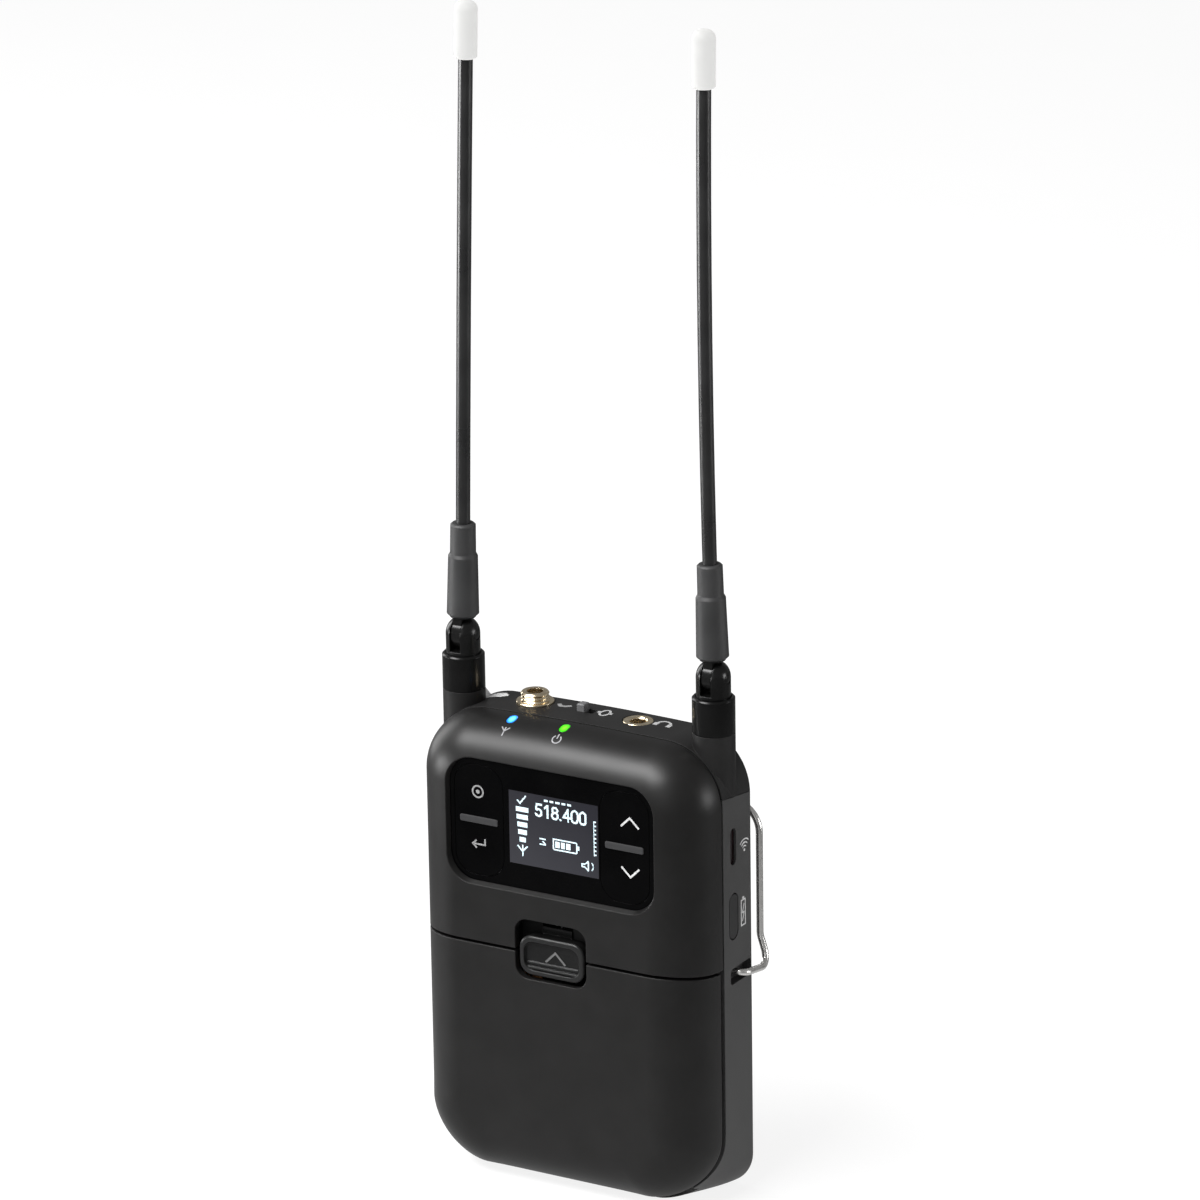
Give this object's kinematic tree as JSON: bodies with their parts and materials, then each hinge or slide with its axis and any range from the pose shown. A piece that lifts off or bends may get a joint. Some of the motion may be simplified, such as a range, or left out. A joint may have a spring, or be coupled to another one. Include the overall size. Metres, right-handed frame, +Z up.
{
  "type": "wireless bodypack transmitter",
  "caption": "Belt-worn wireless audio pack with folding whip aerials, sunk display panel with rocker keys, top sockets, hinged battery door with slide latch, and wire belt clip.",
  "frame": {"origin": "on the flat base, at the middle of the case's width and depth", "axes": "+Z up along the aerials, +X to the right seen from the front, the control panel faces -Y"},
  "size_m": [0.0718, 0.0304, 0.2492],
  "materials": {
    "shell_front": "fine satin paint over moulded plastic",
    "shell_rear": "die cast, finely textured satin paint",
    "shell_cap": "fine satin texture",
    "panel_gloss": "piano gloss",
    "display_window": "clear gloss over a dark display",
    "latch_plastic": "satin",
    "inner_plastic": "satin",
    "board": "solder resist",
    "tin_steel": "tinned",
    "blue_lens": "clear tinted",
    "green_lens": "clear tinted",
    "emitter": "clear",
    "gold_plate": "bright plated",
    "cell_can": "printed jacket over a steel can, as light as the cell",
    "spring_steel": "bright",
    "clip_steel": "bright drawn wire",
    "cover_rubber": "satin",
    "aerial_collar": "satin",
    "aerial_joint": "black anodised, satin",
    "aerial_rubber": "satin",
    "tip_plastic": "satin white"
  },
  "bodies": {
    "case": {"audio_shield": "tin_steel", "battery_bridge": "spring_steel", "battery_left": "cell_can", "battery_right": "cell_can", "battery_springs": "spring_steel", "battery_terminals": "spring_steel", "battery_tray": "inner_plastic", "case_screws": "spring_steel", "charge_port": "tin_steel", "control_board": "board", "display_module": "inner_plastic", "display_panel": "panel_gloss", "display_window": "display_window", "door_hinge_pins": "spring_steel", "front_shell": "shell_front", "infrared_module": "inner_plastic", "infrared_window": "panel_gloss", "key_switches": "tin_steel", "latch_housing": "inner_plastic", "latch_spring": "spring_steel", "left_aerial_collar": "aerial_collar", "light_emitters": "emitter", "link_light_window": "blue_lens", "main_board": "board", "output_bushing": "gold_plate", "output_flange": "gold_plate", "output_jack_body": "inner_plastic", "phones_jack_body": "inner_plastic", "phones_ring": "gold_plate", "power_light_window": "green_lens", "power_switch_body": "inner_plastic", "radio_shield": "tin_steel", "rear_shell": "shell_rear", "right_aerial_collar": "aerial_collar", "top_cap": "shell_cap"},
    "battery_door": {"battery_door": "shell_front"},
    "door_latch": {"door_latch": "latch_plastic"},
    "left_key": {"left_key": "panel_gloss"},
    "right_key": {"right_key": "panel_gloss"},
    "power_switch": {"power_switch_knob": "latch_plastic"},
    "belt_clip": {"belt_clip": "clip_steel"},
    "charge_cover": {"charge_port_cover": "cover_rubber"},
    "left_aerial_base": {"left_aerial_fork": "aerial_joint", "left_aerial_retainer": "spring_steel", "left_aerial_pin": "spring_steel"},
    "right_aerial_base": {"right_aerial_fork": "aerial_joint", "right_aerial_retainer": "spring_steel", "right_aerial_pin": "spring_steel"},
    "left_aerial": {"left_aerial_tongue": "aerial_joint", "left_aerial_sleeve": "aerial_rubber", "left_aerial_whip": "aerial_rubber", "left_aerial_tip": "tip_plastic"},
    "right_aerial": {"right_aerial_tongue": "aerial_joint", "right_aerial_sleeve": "aerial_rubber", "right_aerial_whip": "aerial_rubber", "right_aerial_tip": "tip_plastic"}
  },
  "joints": [
    {"name": "door_hinge", "type": "hinge", "parent": "case", "child": "battery_door", "pos_m": [0, -0.005, 0.0034], "axis": [1, 0, 0], "range_deg": [0, 90]},
    {"name": "latch_slide", "type": "slide", "parent": "case", "child": "door_latch", "axis": [0, 0, 1], "range_m": [0, 0.003], "stiffness_N_per_m": 300, "springref_m": -0.002, "deforming": ["latch_spring"]},
    {"name": "left_key_rock", "type": "hinge", "parent": "case", "child": "left_key", "pos_m": [-0.0173, -0.0109, 0.0801], "axis": [1, 0, 0], "range_deg": [-1.2, 1.2], "stiffness_Nm_per_rad": 0.05},
    {"name": "right_key_rock", "type": "hinge", "parent": "case", "child": "right_key", "pos_m": [0.0173, -0.0109, 0.0801], "axis": [1, 0, 0], "range_deg": [-1.2, 1.2], "stiffness_Nm_per_rad": 0.05},
    {"name": "power_switch_slide", "type": "slide", "parent": "case", "child": "power_switch", "axis": [1, 0, 0], "range_m": [0, 0.0018]},
    {"name": "left_aerial_swivel", "type": "hinge", "parent": "case", "child": "left_aerial_base", "pos_m": [-0.02975, 0.0045, 0.103], "axis": [0, 0, 1], "range_deg": [0, 180]},
    {"name": "right_aerial_swivel", "type": "hinge", "parent": "case", "child": "right_aerial_base", "pos_m": [0.02975, 0.0045, 0.103], "axis": [0, 0, 1], "range_deg": [-180, 0]},
    {"name": "left_aerial_fold", "type": "hinge", "parent": "left_aerial_base", "child": "left_aerial", "pos_m": [-0.02975, 0.0045, 0.11435], "axis": [-1, 0, 0], "range_deg": [0, 90]},
    {"name": "right_aerial_fold", "type": "hinge", "parent": "right_aerial_base", "child": "right_aerial", "pos_m": [0.02975, 0.0045, 0.11435], "axis": [-1, 0, 0], "range_deg": [0, 90]},
    {"name": "clip_swing", "type": "hinge", "parent": "case", "child": "belt_clip", "pos_m": [0, 0.0066, 0.0499], "axis": [-1, 0, 0], "range_deg": [0, 12], "stiffness_Nm_per_rad": 0.5, "springref_deg": -2.86},
    {"name": "charge_cover_pull", "type": "slide", "parent": "case", "child": "charge_cover", "axis": [1, 0, 0], "range_m": [0, 0.008]}
  ]
}
